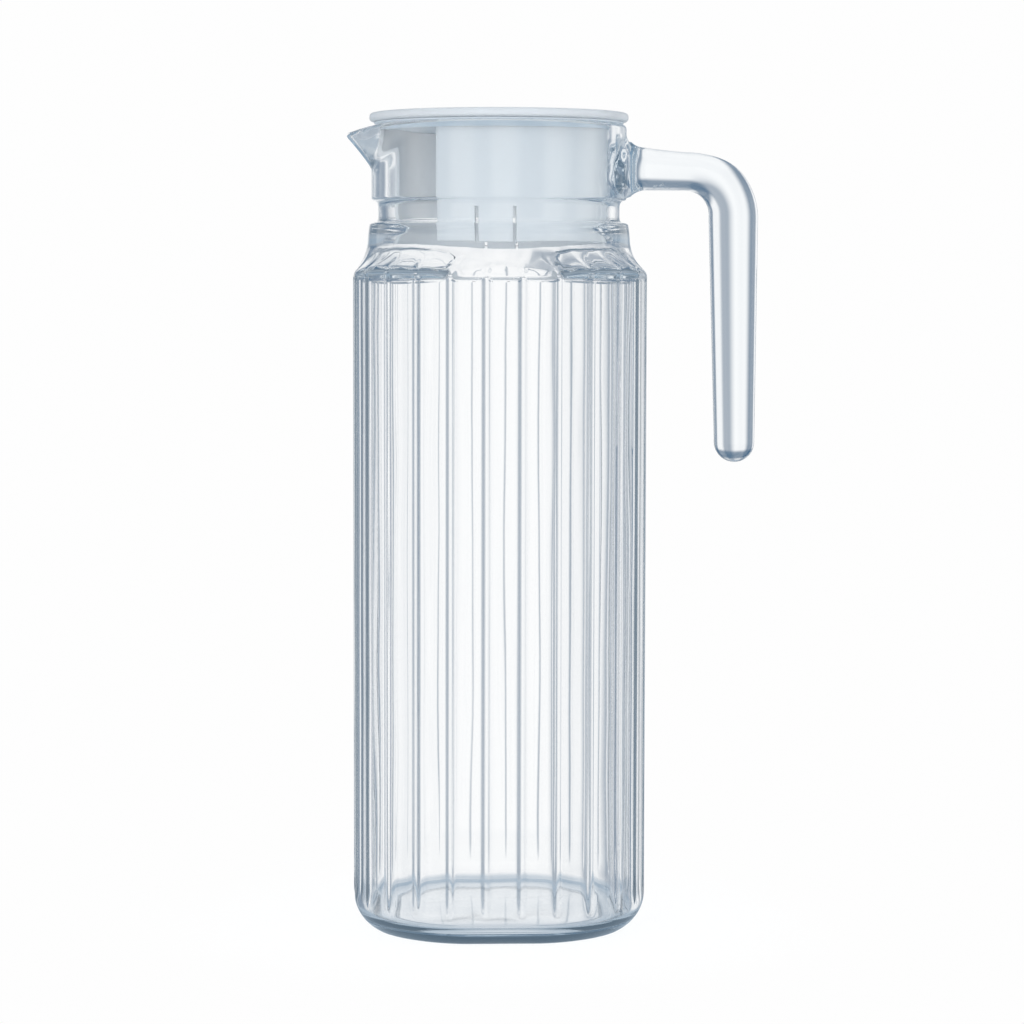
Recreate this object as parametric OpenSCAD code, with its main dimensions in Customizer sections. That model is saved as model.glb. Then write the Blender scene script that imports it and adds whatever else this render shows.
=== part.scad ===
// Fridge jug: a fluted glass body with a pinched pouring lip and a fused glass handle,
// closed by a turning plastic lid whose deep sleeve has a pouring window.
// The origin is the centre of the foot, +Z is up, the handle points to +X and the lip to -X.

/* [Body] */
// Width of the body across two opposite sides
body_w = 87.6; // [82:0.2:94]
// Radius of the body's four upright corners
body_corner_r = 33; // [28:0.5:37]
// Height of the body, from the table to the foot of the shoulder
body_h = 196.8; // [150:0.2:230]
// Thickness of the glass in the sides
wall = 3.5; // [2.5:0.1:4.5]
// Thickness of the glass floor
floor_t = 4.8; // [3:0.1:8]
// Rounding where the sides turn under to the foot
heel_r = 13; // [11:0.1:15]
// Step in from the sides to the edge of the foot
foot_inset = 7.2; // [5:0.1:9]
// Width of the ring that the jug stands on
foot_ring_w = 6; // [4:0.5:10]
// Depth of the hollow inside that ring
foot_hollow = 1.2; // [0.5:0.1:2]
// Rounding between the inside walls and the floor
inside_heel_r = 4.5; // [2:0.5:8]
// Rounding of the edge between the sides and the shoulder
brow_r = 3; // [1:0.1:4]

/* [Flutes] */
// Number of flutes on each of the four sides
flutes_per_side = 7; // [5:1:8]
// Width of one flute
flute_w = 9.6; // [5:0.1:10]
// Depth of one flute
flute_depth = 0.6; // [0.3:0.05:1.1]
// Height of the flutes' feet above the table
flute_start = 8.6; // [7:0.1:20]
// Length over which a flute runs out at its foot
flute_foot = 12; // [3:0.5:30]
// Length over which a flute runs out at its head
flute_head = 2; // [0.5:0.1:6]
// Distance from the flutes' heads up to the shoulder
flute_stop = 0.6; // [0.2:0.1:6]

/* [Neck] */
// Radius of the shoulder where it meets the neck
shoulder_r = 39.4; // [38:0.1:40.5]
// Radius of the hollow curve from the shoulder down to the sides
flare_r = 11; // [8:0.5:14]
// Height of the upright band above that curve
band_h = 4.4; // [3:0.1:8]
// Amount by which the band narrows towards its top
band_lean = 0.4; // [0:0.1:0.8]
// Height of the groove under the collar
groove_h = 6.6; // [5:0.1:10]
// Radius of the groove
groove_r = 36.3; // [35.5:0.1:37.2]
// Height of the thick collar
collar_h = 22.9; // [20:0.1:30]
// Radius of the collar
collar_r = 38.35; // [37.8:0.05:39]
// Radius of the bore through the neck
bore_r = 33.5; // [32.5:0.1:34]
// Rounding of the collar's and the shoulder's edges
edge_r = 1; // [0.4:0.1:1.5]
// Rounding of the rim, outside
lip_r = 1.6; // [0.8:0.1:1.8]
// Rounding of the rim, inside
mouth_r = 0.9; // [0.4:0.1:1.2]

/* [Pouring lip] */
// Distance from the jug's axis to the tip of the lip
spout_reach = 46; // [43:0.1:50]
// Drop from the rim to the tip's upper edge
spout_drop = 2.9; // [1:0.1:5]
// Width of the lip where it leaves the collar
spout_w = 26; // [18:0.5:32]
// Height of the lip where it leaves the collar
spout_h = 14.5; // [10:0.5:18]
// Thickness of the lip's glass
spout_wall = 2.2; // [1.5:0.1:3]
// Radius of the rounded tip
spout_tip_r = 1.9; // [1.6:0.1:2.5]

/* [Handle] */
// Drop from the rim to the middle of the arm
arm_drop = 13.2; // [11:0.1:15]
// Height of the arm's section
arm_t = 12.8; // [10:0.1:15]
// Depth of the arm and of the grip, from front to back
handle_depth = 13; // [10:0.1:16]
// Distance from the jug's axis to the middle of the grip
grip_reach = 70.8; // [64:0.1:76]
// Radius of the bend from the arm to the grip, at mid section
bend_r = 14.2; // [11:0.1:18]
// Thickness of the grip below the bend
grip_t = 14.9; // [11:0.1:17]
// Thickness of the grip at its free end
grip_end_t = 12.2; // [9:0.1:15]
// Depth of the grip at its free end
grip_end_depth = 11.4; // [9:0.1:14]
// Length from the middle of the arm down to the grip's tip
grip_length = 88.3; // [60:0.1:110]
// Amount by which the grip leans outwards down its length
grip_lean = 0.7; // [0:0.1:2]
// Height of the fused root on the collar
root_h = 17.6; // [15:0.1:19]
// Width of the fused root on the collar
root_w = 18; // [15:0.1:22]
// Length over which the root narrows to the arm
root_length = 6; // [3:0.1:9]
// Depth by which the root is fused into the collar
root_bite = 0.6; // [0.3:0.1:1]

/* [Lid] */
// Radius of the lid's flange
cap_r = 38.9; // [38.5:0.05:40]
// Thickness of the flange
cap_t = 2.6; // [2:0.1:4]
// Rounding of the flange's edge
cap_edge_r = 1.1; // [0.5:0.1:1.2]
// Depth of the dish in the lid's top
dish_depth = 3.6; // [2.8:0.1:6]
// Thickness of the dish's floor
dish_floor = 1.6; // [1.2:0.1:2.5]
// Thickness of the dish's side wall
dish_wall = 1.6; // [1.2:0.1:2.5]
// Slope of the dish's side wall, as the amount it widens towards the top
dish_slope = 0.8; // [0:0.1:1.5]
// Width of the finger bar across the dish
bar_w = 5.2; // [4:0.1:8]
// Drop from the flange's top to the top of the finger bar
bar_drop = 0.4; // [0.1:0.1:1]
// Rounding of the finger bar's upper edges
bar_edge_r = 1.2; // [0.5:0.1:1.8]
// Gap between the sleeve and the bore of the neck
sleeve_gap = 0.9; // [0.6:0.1:1.4]
// Thickness of the sleeve
sleeve_t = 1.5; // [1:0.1:2.2]
// Length of the sleeve below the flange
sleeve_h = 35.6; // [30:0.1:38]
// Angle of the pouring window in the sleeve
window_angle = 65; // [40:1:130]
// Width of the spring tabs
tab_w = 9.9; // [8:0.1:16]
// Angle of the tabs from square across the window, the front one towards it
tab_turn = 26.5; // [0:0.5:40]
// Height of the slits beside the spring tabs
slit_h = 9.9; // [5:0.1:14]
// Width of those slits
slit_w = 1; // [0.6:0.1:1.6]
// Angle by which the stored lid is turned from the pouring position
lid_turned = 22.5; // [-40:0.5:40]

/* [Seal] */
// Thickness of the seal between the rim and the flange
seal_t = 0.7; // [0.5:0.1:1.5]
// Length of the seal's skirt inside the mouth
seal_skirt = 1.9; // [1:0.1:4]
// Thickness of the seal's skirt
seal_skirt_t = 0.45; // [0.3:0.05:0.5]
// Distance from the edge of the rim in to the edge of the seal
seal_inset = 0.9; // [0.4:0.1:1.8]
// Running gap between the sleeve and the seal
seal_gap = 0.1; // [0.05:0.01:0.2]

/* [Hidden] */
// Overrun of cuts past the surfaces that they leave
over = 1;
// Distance from the start of the brow up to the foot of the shoulder, and the angle it turns through
brow_drop = 0.4;
brow_turn = 50;
// Gap that lets the cap slip into the sleeve
slip = 0.1;
// Straight facets in each rounded edge, in the handle's bend and in its rounded end
arc_steps = 8;
// Points round the handle's section
section_points = 24;
// Squareness of the handle's section: 2 is an ellipse, more is squarer
section_power = 2.4;
// Fineness of circles, and of the rounded corners inside a hull
$fn = 96;
hull_fn = 24;

glass_colour = [0.78, 0.85, 0.9, 0.45];
lid_colour = [0.86, 0.91, 0.96, 0.8];
seal_colour = [0.93, 0.95, 0.97];

// Body
half = body_w / 2;
flat = half - body_corner_r;
heel_z = sqrt(pow(heel_r, 2) - pow(heel_r - foot_inset, 2));
brow_z = body_h - brow_drop;

// Heights up the neck
flare_z = body_h + flare_r;
band_z = flare_z + band_h;
collar_z = band_z + groove_h;
rim_z = collar_z + collar_h;
groove_slope = edge_r;

// Flutes
flute_pitch = (8 * flat + 2 * PI * body_corner_r) / (4 * flutes_per_side);
flute_r = (pow(flute_w / 2, 2) + pow(flute_depth, 2)) / (2 * flute_depth);
flute_axis = flute_r - flute_depth;
chord_r = sqrt(pow(body_corner_r, 2) - pow(flute_w / 2, 2));
flute_end_r = flute_axis - (body_corner_r - chord_r);
flute_top = body_h - flute_stop;

// Handle
arm_z = rim_z - arm_drop;
root_x = sqrt(pow(collar_r, 2) - pow(root_w / 2, 2)) - root_bite;
bend_x = grip_reach - bend_r;
grip_z = arm_z - bend_r;
tip_z = arm_z - grip_length;

// Lid, from the rim upwards
flange_z = rim_z + seal_t;
cap_z = flange_z + cap_t;
sleeve_r = bore_r - sleeve_gap;
plug_r = sleeve_r - sleeve_t - slip;
dish_r = plug_r - dish_wall;
dish_z = cap_z - dish_depth;

// Points of a circular arc in a profile
function arc(centre, r, from, to) =
    [for (i = [0:arc_steps]) centre + r * [cos(from + (to - from) * i / arc_steps),
                                           sin(from + (to - from) * i / arc_steps)]];

// Sweeps a half profile round a square with round corners, whose sides are straight for 2 * flat
module round_square(bottom, top) {
    translate([-flat, -flat, bottom]) cube([2 * flat, 2 * flat, top - bottom]);
    for (turn = [0:90:270]) rotate(turn) translate([flat, flat, 0]) {
        rotate_extrude(angle = 90) children();
        rotate([90, 0, 0]) linear_extrude(2 * flat) children();
    }
}

// Upright outline of the sides, from the middle of a corner outwards
module side_profile() {
    r = body_corner_r;
    polygon(concat(
        [[0, 0]],
        arc([r - heel_r, heel_z], heel_r, -asin(heel_z / heel_r), 0),
        arc([r - brow_r, brow_z], brow_r, 0, brow_turn),
        [[r - brow_r * (1 - cos(brow_turn)), flare_z], [0, flare_z]]));
}

// Upright outline of the hollow inside the sides
module inside_profile() {
    r = body_corner_r - wall;
    polygon(concat(
        [[0, floor_t]],
        arc([r - inside_heel_r, floor_t + inside_heel_r], inside_heel_r, -90, 0),
        [[r, flare_z], [0, flare_z]]));
}

// Turned outline that the shoulder's hollow curve takes off the sides, for a skin of a thickness
module flare_profile(skin) {
    polygon(concat(
        [[0, 0], [body_w, 0], [body_w, body_h - skin]],
        arc([shoulder_r + flare_r, flare_z], flare_r + skin, 270, 180),
        [[0, flare_z]]));
}

// Turned outline of the band, the groove and the collar
module neck_profile() {
    band_r = shoulder_r - band_lean;
    polygon(concat(
        [[0, flare_z - over], [bore_r, flare_z - over], [bore_r, flare_z], [shoulder_r, flare_z]],
        arc([band_r - edge_r, band_z - edge_r], edge_r, 0, 90),
        [[groove_r, band_z + groove_slope], [groove_r, collar_z - groove_slope]],
        arc([collar_r - edge_r, collar_z + edge_r], edge_r, -90, 0),
        arc([collar_r - lip_r, rim_z - lip_r], lip_r, 0, 90),
        [[0, rim_z]]));
}

// Turned outline of the bore through the neck
module bore_profile() {
    polygon(concat(
        [[0, flare_z - over], [bore_r, flare_z - over], [bore_r, flare_z],
         [shoulder_r - wall, flare_z], [bore_r, band_z]],
        arc([bore_r + mouth_r, rim_z - mouth_r], mouth_r, 180, 90),
        [[bore_r + mouth_r, rim_z + over], [0, rim_z + over]]));
}

// One flute's cutter: the near side of a long round bar whose ends run out of the glass
module flute_bar() {
    crest = body_corner_r - chord_r;
    side = (flute_w + flute_pitch) / 4;
    intersection() {
        rotate_extrude() polygon([
            [0, flute_start], [flute_end_r, flute_start], [flute_r, flute_start + flute_foot],
            [flute_r, flute_top - flute_head], [flute_end_r, flute_top], [0, flute_top]]);
        translate([-side, -flute_r - over, 0])
            cube([2 * side, flute_depth + crest + 2 * over, body_h + over]);
    }
}

// A flute's cutter at a distance along a side from its middle, carried on round the corner
module flute_at(along) {
    turn = (abs(along) - flat) / body_corner_r * 180 / PI;
    if (turn <= 0)
        translate([along, half + flute_axis, 0]) flute_bar();
    else
        translate([sign(along) * flat, flat, 0]) rotate(-sign(along) * turn)
            translate([0, chord_r + flute_axis, 0]) flute_bar();
}

module flutes() {
    last = (flutes_per_side - 1) / 2;
    for (turn = [0:90:270], i = [-last:last]) rotate(turn) flute_at(i * flute_pitch);
}

// The lip's outer form: a beak from a wide root on the collar to a small round tip
module spout_form() {
    root_x = collar_r - spout_wall;
    hull() {
        translate([-(spout_reach - spout_tip_r), 0, rim_z - spout_drop - spout_tip_r])
            sphere(spout_tip_r, $fn = hull_fn);
        for (side = [-1, 1])
            translate([-(root_x * cos(asin(spout_w / 2 / collar_r))),
                       side * (spout_w / 2 - spout_wall), rim_z - spout_wall])
                sphere(spout_wall, $fn = hull_fn);
        translate([-root_x, 0, rim_z - spout_h + spout_wall])
            sphere(spout_wall, $fn = hull_fn);
    }
}

// The open channel from the bore out along the beak
module spout_channel() {
    tip_x = spout_reach - spout_wall;
    root_x = bore_r - spout_wall;
    hull() {
        translate([-(tip_x - spout_tip_r / 2), 0, rim_z - spout_drop])
            cylinder(spout_drop + over, r = spout_tip_r / 2, $fn = hull_fn);
        for (side = [-1, 1])
            translate([-root_x, side * (spout_w / 2 - 2 * spout_wall), rim_z - spout_wall])
                cylinder(spout_wall + over, r = spout_wall / 2, $fn = hull_fn);
        translate([-root_x, 0, rim_z - spout_h + 2 * spout_wall])
            sphere(spout_wall, $fn = hull_fn);
    }
}

module foot_hollow_cut() {
    r = body_corner_r - foot_inset - foot_ring_w;
    round_square(-over, foot_hollow) translate([0, -over]) square([r, foot_hollow + over]);
}

module glass_body() {
    color(glass_colour) difference() {
        union() {
            intersection() {
                round_square(0, flare_z) side_profile();
                rotate_extrude() flare_profile(0);
            }
            rotate_extrude() neck_profile();
            spout_form();
        }
        intersection() {
            round_square(floor_t, flare_z) inside_profile();
            rotate_extrude() flare_profile(wall);
        }
        rotate_extrude() bore_profile();
        flutes();
        spout_channel();
        foot_hollow_cut();
    }
}

// Points of one ring of the handle: its middle, its tilt from upright, and its two half sizes
function ring(x, z, tilt, half_t, half_d) = [for (i = [0:section_points - 1])
    let (a = 360 * i / section_points,
         u = sign(cos(a)) * pow(abs(cos(a)), 2 / section_power) * half_t,
         v = sign(sin(a)) * pow(abs(sin(a)), 2 / section_power) * half_d)
    [x + u * sin(tilt), v, z + u * cos(tilt)]];

function mix(from, to, share) = from + (to - from) * share;

// The fused root narrows in a hollow curve to the arm
function root_rings() = [for (i = [0:arc_steps]) let (s = i / arc_steps, w = pow(1 - s, 2))
    ring(root_x + root_length * s, arm_z, 0,
         mix(arm_t, root_h, w) / 2, mix(handle_depth, root_w, w) / 2)];

// The bend thickens the section from the arm's to the grip's
function bend_rings() = [for (i = [0:arc_steps]) let (s = i / arc_steps, t = 90 * s)
    ring(bend_x + bend_r * sin(t), grip_z + bend_r * cos(t), t,
         mix(arm_t, grip_t, s) / 2, handle_depth / 2)];

// The grip tapers down to its free end, which is rounded like half an ellipsoid
function grip_rings() = let (round_z = tip_z + grip_end_t / 2, run = grip_z - round_z)
    concat(
        [for (s = [1 / 4, 1 / 2, 3 / 4, 1])
            ring(grip_reach + grip_lean * s, grip_z - run * s, 90,
                 mix(grip_t, grip_end_t, s) / 2, mix(handle_depth, grip_end_depth, s) / 2)],
        [for (i = [1:arc_steps - 1]) let (t = 90 * i / arc_steps)
            ring(grip_reach + grip_lean, round_z - grip_end_t / 2 * sin(t), 90,
                 grip_end_t / 2 * cos(t), grip_end_depth / 2 * cos(t))]);

module glass_handle() {
    rings = concat(root_rings(), bend_rings(), grip_rings());
    n = section_points;
    last = len(rings) - 1;
    tip = [grip_reach + grip_lean, 0, tip_z];
    points = concat([for (r = rings) each r], [tip]);
    start = [[for (i = [0:n - 1]) i]];
    sides = [for (k = [0:last - 1], i = [0:n - 1]) let (j = (i + 1) % n)
        each [[k * n + i, (k + 1) * n + i, k * n + j],
              [k * n + j, (k + 1) * n + i, (k + 1) * n + j]]];
    end = [for (i = [0:n - 1]) [last * n + i, len(points) - 1, last * n + (i + 1) % n]];
    color(glass_colour) polyhedron(points, concat(start, sides, end));
}

// Flange, shallow dish and the plug that fits the sleeve, turned in one profile
module cap_form() {
    rotate_extrude() polygon(concat(
        [[0, dish_z - dish_floor], [plug_r, dish_z - dish_floor], [plug_r, flange_z]],
        arc([cap_r - cap_edge_r, flange_z + cap_edge_r], cap_edge_r, -90, 0),
        arc([cap_r - cap_edge_r, cap_z - cap_edge_r], cap_edge_r, 0, 90),
        [[dish_r + dish_slope, cap_z], [dish_r, dish_z], [0, dish_z]]));
}

// Finger bar across the dish, pointing at the window so that it shows where the jug pours
module finger_bar() {
    bar_z = cap_z - bar_drop;
    length = 2 * sqrt(pow(dish_r + dish_wall / 2, 2) - pow(bar_w / 2, 2));
    intersection() {
        translate([-length / 2, 0, 0]) rotate([90, 0, 90]) linear_extrude(length)
            polygon(concat(
                [[-bar_w / 2, dish_z - dish_floor / 2], [bar_w / 2, dish_z - dish_floor / 2]],
                arc([bar_w / 2 - bar_edge_r, bar_z - bar_edge_r], bar_edge_r, 0, 90),
                arc([bar_edge_r - bar_w / 2, bar_z - bar_edge_r], bar_edge_r, 90, 180)));
        cylinder(cap_z, r = dish_r + dish_wall / 2);
    }
}

module lid_cap() {
    color(lid_colour) rotate(lid_turned) union() {
        cap_form();
        finger_bar();
    }
}

// Wedge of the pouring window, opening towards -X
module window_cut() {
    side = window_angle / 4;
    reach = 2 * sleeve_r;
    translate([0, 0, flange_z - sleeve_h - over]) linear_extrude(sleeve_h + 2 * over)
        polygon([[0, 0], for (i = [-2:2]) reach * [-cos(i * side), sin(i * side)]]);
}

// Two slits free each spring tab, one tab at the front and one opposite it at the back
module slit_cuts() {
    rotate(-tab_turn) for (face = [-1, 1], side = [-1, 1])
        translate([side * (tab_w + slit_w) / 2 - slit_w / 2, face * sleeve_r - sleeve_r / 2,
                   flange_z - sleeve_h - over])
            cube([slit_w, sleeve_r, slit_h + over]);
}

module lid_sleeve() {
    color(lid_colour) rotate(lid_turned) difference() {
        translate([0, 0, flange_z - sleeve_h]) cylinder(sleeve_h, r = sleeve_r);
        translate([0, 0, flange_z - sleeve_h - over])
            cylinder(sleeve_h + 2 * over, r = sleeve_r - sleeve_t);
        window_cut();
        slit_cuts();
    }
}

// Flat ring on the rim with a short skirt inside the mouth
module lid_seal() {
    inner = sleeve_r + seal_gap;
    color(seal_colour) rotate_extrude() polygon([
        [inner, rim_z - seal_skirt], [inner + seal_skirt_t, rim_z - seal_skirt],
        [inner + seal_skirt_t, rim_z], [collar_r - seal_inset, rim_z],
        [collar_r - seal_inset, flange_z], [inner, flange_z]]);
}

glass_body();
glass_handle();
lid_cap();
lid_sleeve();
lid_seal();
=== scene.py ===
# %% [markdown]
# # A fluted glass fridge jug with a turning lid
#
# The jug is one piece of pressed glass with a handle fused to it, and a soft plastic lid whose deep
# sleeve has a pouring window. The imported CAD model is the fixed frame. Its solids say where every surface
# lies, and this lesson builds the surfaces that are seen: one seamless glass shell, and three plastic
# pieces.

# %% Load the frame
from math import acos, asin, atan2, cos, exp, floor, hypot, pi, radians, sin, sqrt, tan

import bmesh
import bpy
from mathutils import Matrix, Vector, noise


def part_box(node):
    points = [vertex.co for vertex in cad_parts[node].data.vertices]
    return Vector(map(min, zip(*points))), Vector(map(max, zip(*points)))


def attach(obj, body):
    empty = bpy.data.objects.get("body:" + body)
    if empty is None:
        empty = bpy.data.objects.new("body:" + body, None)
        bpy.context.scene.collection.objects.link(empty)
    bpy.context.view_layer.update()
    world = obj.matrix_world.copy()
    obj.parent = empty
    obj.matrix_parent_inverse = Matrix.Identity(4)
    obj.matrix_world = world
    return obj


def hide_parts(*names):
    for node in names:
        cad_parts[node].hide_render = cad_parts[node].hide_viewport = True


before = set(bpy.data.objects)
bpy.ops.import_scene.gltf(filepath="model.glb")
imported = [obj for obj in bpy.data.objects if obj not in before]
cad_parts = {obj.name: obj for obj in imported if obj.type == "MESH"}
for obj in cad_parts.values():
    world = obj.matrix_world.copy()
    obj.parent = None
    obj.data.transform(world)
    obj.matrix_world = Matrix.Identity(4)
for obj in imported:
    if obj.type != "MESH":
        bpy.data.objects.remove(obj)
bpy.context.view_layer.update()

mm = 0.001
for name in sorted(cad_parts):
    low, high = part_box(name)
    print(name, [round(v / mm, 1) for v in low], [round(v / mm, 1) for v in high])

# %% [markdown]
# ## The camera first
#
# The photograph was taken from about a metre away with a long lens, level with the jug's shoulder and
# tilted down a little, and the jug is turned by two degrees. Setting the camera before anything else lets
# each piece be compared with the photograph as soon as it exists. The small shift puts the jug's axis
# left of centre.

# %% Camera
camera_away = 974.6 * mm
camera_height = 196.6 * mm
camera_turn = radians(-2.36)
camera_down = radians(4.2)

bpy.ops.object.select_all(action="DESELECT")
bpy.ops.object.camera_add(
    location=(camera_away * sin(camera_turn), -camera_away * cos(camera_turn), camera_height),
    rotation=(pi / 2 - camera_down, radians(-0.1), camera_turn),
)
camera = bpy.context.object
camera.name = "camera"
camera.data.lens = 113.4
camera.data.sensor_width = 36
camera.data.shift_x = 0.0130
camera.data.clip_end = 20
bpy.context.scene.camera = camera
print("camera at", [round(v, 3) for v in camera.location])

# %% [markdown]
# ## Sizes of the jug
#
# These are the sizes that the CAD solids have, in millimetres, because the glass shell has to lie where
# they lie. The body is a square with round upright corners; its outline is measured as a distance along
# it, from the middle of the lip's side, so that flutes of equal width can be laid off all the way round.

# %% Sizes
half = 43.8
corner = 33.0
flat = half - corner
quarter = 2 * flat + pi / 2 * corner
flutes = 28
pitch = 4 * quarter / flutes
flute_half = 5.0
flute_depth = 0.58
edge_share = 0.75
seam_depth = 0.3
wall = 3.5
rim_z = 241.7
neck_r, collar_r, groove_r, bore_r = 39.4, 38.35, 36.3, 33.5
neck_z = 207.8
print("outline", round(4 * quarter, 1), "mm, flute pitch", round(pitch, 2), "mm")

# %% Outline of the sides
def clamp(value, low, high):
    return max(low, min(high, value))


def smooth(value, start, end):
    """0 before start, 1 after end, and an even S between them."""
    t = clamp((value - start) / (end - start), 0, 1)
    return t * t * (3 - 2 * t)


def side_frame(along):
    """Place and outward direction on the outline, a distance along it from the middle of the lip's side."""
    side = floor((along + quarter / 2) / quarter)
    rest = along - side * quarter
    turn = max(0.0, abs(rest) - flat) / corner * (1 if rest > 0 else -1)
    out = half - corner + corner * cos(turn)
    run = clamp(rest, -flat, flat) + corner * sin(turn)
    face = pi + side * pi / 2
    place = (out * cos(face) - run * sin(face), out * sin(face) + run * cos(face))
    return place, (cos(face + turn), sin(face + turn)), abs(sin(2 * (face + turn)))


# Points crowd together beside each ridge, so that a flute has an almost flat middle and steep, crisp edges.
# The ridges behind are softer. Two opposite corners carry a fine groove, where the halves of the mould met.
half_flute_steps = [2.0, 3.7, 4.0, 4.3, 4.6, 4.9]
steps = [-u for u in reversed(half_flute_steps)] + [0.0] + half_flute_steps + [pitch / 2]
round_count = flutes * len(steps)
around = []
for flute in range(flutes):
    for u in steps:
        along = flute * pitch + u
        place, out, cornerness = side_frame(along)
        edge = edge_share * (1 - 0.5 * smooth(out[1], 0.3, 0.9))
        scoop = (1 - edge_share) * (1 - min(1, (u / flute_half) ** 2))
        scoop += edge * (1 - smooth(abs(u), 3.75, flute_half))
        seam = seam_depth * max(0, 1 - (pitch / 2 - abs(u)) / 0.95) * (out[0] * out[1] < -0.47)
        around.append((place, out, seam, scoop, cornerness))
around.sort(key=lambda a: (atan2(a[0][1], a[0][0]) + pi + 0.001) % (2 * pi))
print(round_count, "points round the glass")

# %% [markdown]
# ## Profiles as rings of points
#
# A jug is lofted: a circle is extruded upwards again and again, and each new ring of points is moved to
# where the glass is at that height. So each part of the shell is described by a function that gives one
# ring. The sides are the outline moved inwards, the neck is a circle, and the shoulder blends one into
# the other.

# %% Rings of the sides
foot_rounder, brow_rise = 1.2, 1.3
heel_r, heel_z = 13.0, 11.634


def side_ring(inset, z, flute=0.0, dip=0.0):
    """The outline moved inwards, with a share of the flutes' depth, and dipped where the ridges are."""
    ring = []
    foot = foot_rounder * (clamp(11 - z, 0, 11) / 11) ** 2
    brow = brow_rise * smooth(z, 190, 196)
    seam_share = flute * smooth(z, 14, 40) * (1 - 0.7 * smooth(z, 150, 185))
    for place, out, seam, scoop, cornerness in around:
        depth = inset + flute * flute_depth * scoop + foot * cornerness + seam_share * seam
        ring.append(Vector((place[0] - out[0] * depth, place[1] - out[1] * depth,
                            z + brow * cornerness ** 2 - dip * (1 - scoop))))
    return ring


def heel_ring(z, flute=0.0, groove=0.0):
    """A ring of the heel, where the sides turn under to the foot in an arc."""
    return side_ring(heel_r - sqrt(heel_r ** 2 - max(0.0, heel_z - z) ** 2) + groove, z, flute)


def wavy(ring, amount):
    """Pressed glass is never quite even: move the points of an inside ring in and out a little."""
    for p in ring:
        r = hypot(p.x, p.y)
        n = noise.noise(Vector((p.x / 9, p.y / 9, p.z / 38))) + 0.5 * noise.noise(
            Vector((p.x / 4, p.y / 4, p.z / 60 + 7)))
        p.x += p.x / r * amount * n
        p.y += p.y / r * amount * n
    return ring


# %% Turns round the neck
def neck_turn(index, lip_share):
    """Angle of a point round the neck: even, or crowded towards the pouring lip, which is at -X."""
    turn = 2 * pi * index / round_count
    turn = turn if turn <= pi else turn - 2 * pi
    crowded = turn * (1 - 0.55 * exp(-((turn / radians(24)) ** 2)))
    return pi + turn + (crowded - turn) * lip_share


def neck_ring(radius, z):
    share = smooth(z, 208, 219)
    ring = []
    for i in range(round_count):
        turn = neck_turn(i, share)
        ring.append(Vector((radius * cos(turn), radius * sin(turn), z)))
    return ring


def arc(x, z, r, start, end, count):
    """Points of a circular arc in a profile, both ends included."""
    turns = [radians(start + (end - start) * i / (count - 1)) for i in range(count)]
    return [(x + r * cos(t), z + r * sin(t)) for t in turns]


def shoulder_ring(share, low):
    """A ring part of the way up the outside of the shoulder: 0 on the sides' ring, 1 on the neck."""
    ring = []
    for i, (start, end) in enumerate(zip(low, neck_ring(neck_r, neck_z))):
        pull = Vector((end.x, end.y, 203.0 - 0.5 * around[i][4]))
        ring.append(start.lerp(pull, share).lerp(pull.lerp(end, share), share))
    return ring


def inner_shoulder():
    """Rings down the inside of the shoulder: the flare's arc, a fillet, and the top of the sides."""
    flare, glass_left, fillet = 11, 2.7, 1.6
    r, reach = neck_r + flare, flare + glass_left
    columns = []
    for low, top in zip(side_ring(wall, 190), neck_ring(1.0, 0)):
        side = hypot(low.x, low.y)
        meet = asin((r - side) / reach)
        run = fillet * tan((pi / 2 - meet) / 2)
        path = []
        for k in range(10):
            t = pi / 2 + (meet + run / reach - pi / 2) * k / 9
            out = reach + (wall - glass_left) * (1 - smooth(k, 0, 3))
            path.append((r - out * sin(t), neck_z - out * cos(t)))
        start, pull = Vector(path[-1]), Vector((side, neck_z - reach * cos(meet)))
        end = pull - Vector((0, run))
        for share in (0.2, 0.4, 0.6, 0.8, 1.0):
            path.append(start.lerp(pull, share).lerp(pull.lerp(end, share), share))
        path += [(side, end.y - 0.8), (side, 188.5)]
        column = []
        for k, (out, height) in enumerate(path):
            aim = Vector((top.x, top.y)).lerp(Vector((low.x, low.y)) / side, smooth(k, 0, 9)).normalized()
            column.append(Vector((aim.x * out, aim.y * out, height)))
        columns.append(column)
    return [list(ring) for ring in zip(*columns)]


# %% [markdown]
# ## The pouring lip
#
# On the real jug the lip is pinched out of the rim while the glass is soft. Seen from above, the pinched
# rim is the rim's circle and the lip's small round tip, wrapped together by two straight lines. The same
# wrap is used at each height, with a tip that draws back to the collar further down, and the rim drops
# towards the tip.

# %% Pouring lip
lip_reach = 46.0
lip_drop = 2.9
lip_tip_r, inner_tip_r = 1.9, 1.1


def wrapped(turn, radius, reach, tip_r):
    """Distance from the axis to a circle wrapped together with a small tip circle at -X."""
    if reach <= radius:
        return radius
    off = abs((turn - pi + pi) % (2 * pi) - pi)
    middle = reach - tip_r
    tangent = acos((radius - tip_r) / middle)
    if off >= tangent:
        return radius
    from_tip = atan2(tip_r * sin(tangent), middle + tip_r * cos(tangent))
    if off >= from_tip:
        return radius / cos(tangent - off)
    return middle * cos(off) + sqrt(max(0.0, tip_r ** 2 - (middle * sin(off)) ** 2))


def outer_reach(z):
    return collar_r + (lip_reach - collar_r) * clamp((z - 228.3) / 9.9, 0, 1) ** 1.15


def inner_reach(z):
    return bore_r + (lip_reach - 2.2 - bore_r) * clamp((z - 228.5) / 10.3, 0, 1) ** 0.95


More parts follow.
